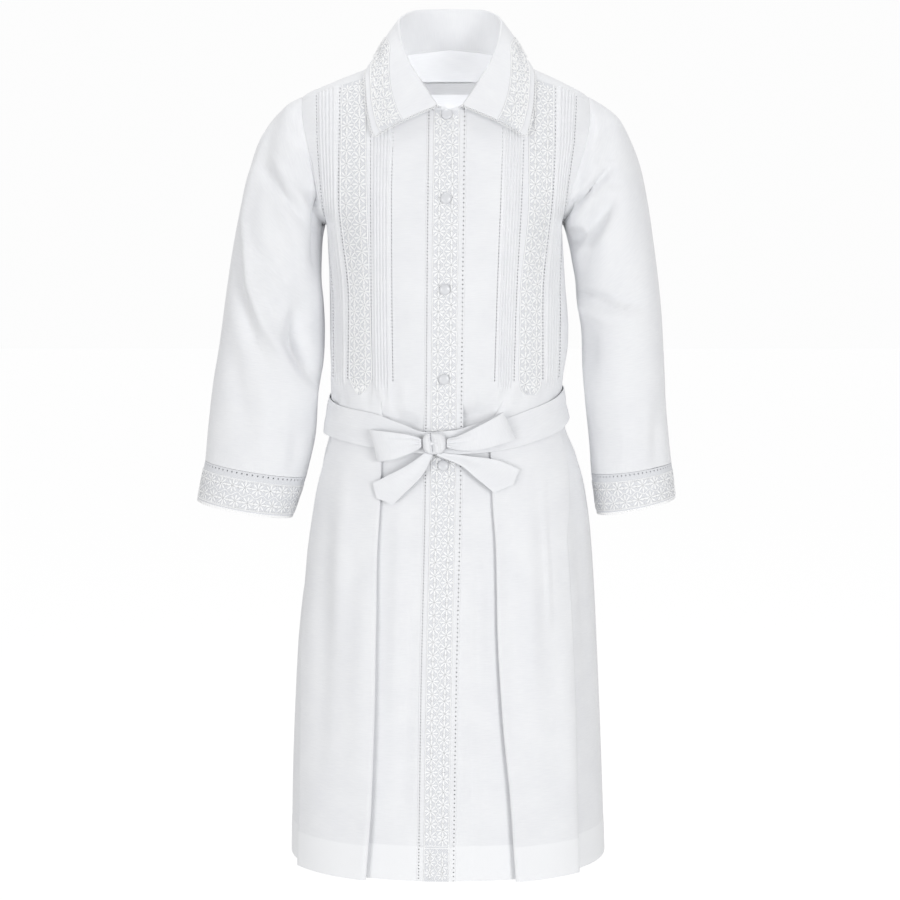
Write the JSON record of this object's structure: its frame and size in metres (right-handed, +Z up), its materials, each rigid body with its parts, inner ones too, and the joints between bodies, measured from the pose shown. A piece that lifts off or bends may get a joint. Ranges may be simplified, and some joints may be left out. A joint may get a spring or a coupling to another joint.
{
  "type": "kittel",
  "caption": "White button-front ritual robe in its hollow worn form, with pin tucks, lace bands, a wide turned-down collar, a pleated skirt and a tied belt.",
  "frame": {"origin": "where the wearer's shoulders hold the robe, on the centre line, level with the inner ends of the shoulders", "axes": "+Z up the height of the robe, -Y out of its front, +X towards the wearer's left"},
  "size_m": [0.7182, 0.3321, 1.2691],
  "materials": {
    "cotton": "plain weave white cotton, pressed",
    "lace": "white cotton lace",
    "button": "white, softly polished",
    "label": "plain grey woven band"
  },
  "bodies": {
    "root": {"yoke": "cotton", "back": "cotton", "placket": "cotton", "collar": "cotton", "belt": "cotton", "bow_knot": "cotton", "front_right": "cotton", "sleeve_right": "cotton", "bow_loop_right": "cotton", "bow_tail_right": "cotton", "front_left": "cotton", "sleeve_left": "cotton", "bow_loop_left": "cotton", "bow_tail_left": "cotton", "placket_lace": "lace", "chest_lace_right": "lace", "collar_lace_right": "lace", "cuff_right": "lace", "chest_lace_left": "lace", "collar_lace_left": "lace", "cuff_left": "lace", "button_1": "button", "button_2": "button", "button_3": "button", "button_4": "button", "button_5": "button", "label": "label"}
  },
  "joints": []
}
